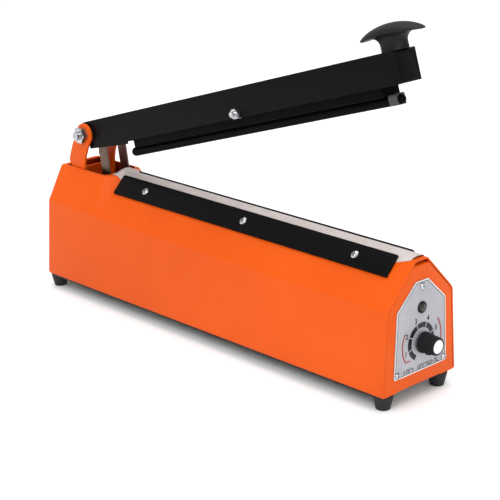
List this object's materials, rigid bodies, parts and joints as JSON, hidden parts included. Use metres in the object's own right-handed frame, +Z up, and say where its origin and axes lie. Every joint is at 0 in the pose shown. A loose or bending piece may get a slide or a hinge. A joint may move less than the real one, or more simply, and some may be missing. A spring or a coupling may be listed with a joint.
{
  "type": "impulse heat sealer",
  "caption": "Hand impulse heat sealer with a folded sheet-steel case, hinged pressing arm and timer knob.",
  "frame": {"origin": "on the table, below the middle of the machine's box with the arm open", "axes": "+X along the machine towards the timer end, +Y away from the user's side, +Z up"},
  "size_m": [0.4395, 0.085, 0.2887],
  "materials": {
    "case_paint": "orange powder coat",
    "black_paint": "satin black",
    "black_plastic": "moulded",
    "white_plastic": "gloss",
    "zinc": "zinc plated",
    "steel": "plain",
    "aluminium": "brushed",
    "brass": "plain",
    "foot_rubber": "matt",
    "silicone": "satin silicone",
    "cloth": "PTFE-coated glass cloth",
    "dark_lens": "clear dark red",
    "fibre": "pressed fibre",
    "board": "circuit board",
    "blue_plastic": "gloss",
    "winding": "varnished winding",
    "black_aluminium": "black satin"
  },
  "bodies": {
    "case": {"case_shell": "case_paint", "base_plate": "zinc", "foot_front_near": "foot_rubber", "foot_front_far": "foot_rubber", "foot_rear_near": "foot_rubber", "foot_rear_far": "foot_rubber", "foot_screws": "zinc", "base_screws": "zinc", "timer_end_plate": "case_paint", "nameplate": "aluminium", "nameplate_screws": "zinc", "lamp_lens": "dark_lens", "lamp_holder": "white_plastic", "timer_pot": "steel", "pot_nut": "zinc", "timer_board": "board", "timer_relay": "blue_plastic", "timer_capacitors": "blue_plastic", "bed_bar": "aluminium", "bed_tape": "cloth", "heating_wire": "steel", "wire_clip_front": "brass", "wire_clip_rear": "brass", "clip_block_front": "fibre", "clip_block_rear": "fibre", "ptfe_cloth": "cloth", "clamp_strip_near": "black_paint", "clamp_strip_far": "black_paint", "clamp_screws_near": "zinc", "clamp_screws_far": "zinc", "hinge_bracket": "case_paint", "bracket_screws": "zinc", "hinge_bolt": "zinc", "hinge_nut": "zinc", "hinge_washers": "fibre", "spring_post": "zinc", "micro_switch": "black_plastic", "switch_bracket": "zinc", "transformer_core": "steel", "transformer_coil": "winding", "transformer_screws": "zinc", "cable_gland": "black_plastic", "gland_nut": "black_plastic"},
    "arm": {"arm_channel": "black_paint", "palm_grip": "black_plastic", "grip_screw": "zinc", "pivot_bolt_press_bar": "zinc", "pivot_nut": "zinc", "pivot_spacers": "zinc", "yoke_pin_rod": "zinc"},
    "press_bar": {"press_bar": "black_aluminium", "silicone_lip": "silicone", "lip_end_plug": "black_plastic"},
    "yoke": {"lift_yoke": "steel", "return_spring": "steel"},
    "switch_lever": {"switch_lever": "steel"},
    "knob": {"timer_knob": "black_plastic", "knob_cap": "white_plastic", "pot_shaft": "zinc"}
  },
  "joints": [
    {"name": "arm_hinge", "type": "hinge", "parent": "case", "child": "arm", "pos_m": [-0.17475, 0, 0.1455], "axis": [0, 1, 0], "range_deg": [0, 17.4], "stiffness_Nm_per_rad": 3, "springref_deg": -57.3},
    {"name": "press_bar_rock", "type": "hinge", "parent": "arm", "child": "press_bar", "pos_m": [0.02192, 0, 0.19676], "axis": [0, 1, 0], "range_deg": [-0.3, 0.3]},
    {"name": "yoke_slide", "type": "slide", "parent": "case", "child": "yoke", "axis": [0, 0, 1], "range_m": [-0.00485, 0], "deforming": ["return_spring"]},
    {"name": "switch_press", "type": "hinge", "parent": "case", "child": "switch_lever", "pos_m": [-0.10702, 0, 0.06514], "axis": [0, -1, 0], "range_deg": [0, 6]},
    {"name": "knob_turn", "type": "hinge", "parent": "case", "child": "knob", "pos_m": [0.20425, 0, 0.048], "axis": [-1, 0, 0], "range_deg": [0, 280]}
  ],
  "couplings": [
    {"joint": "yoke_slide", "follows": "arm_hinge", "m_per_rad": -0.015939},
    {"joint": "switch_press", "follows": "arm_hinge", "ratio": 0.34482}
  ]
}
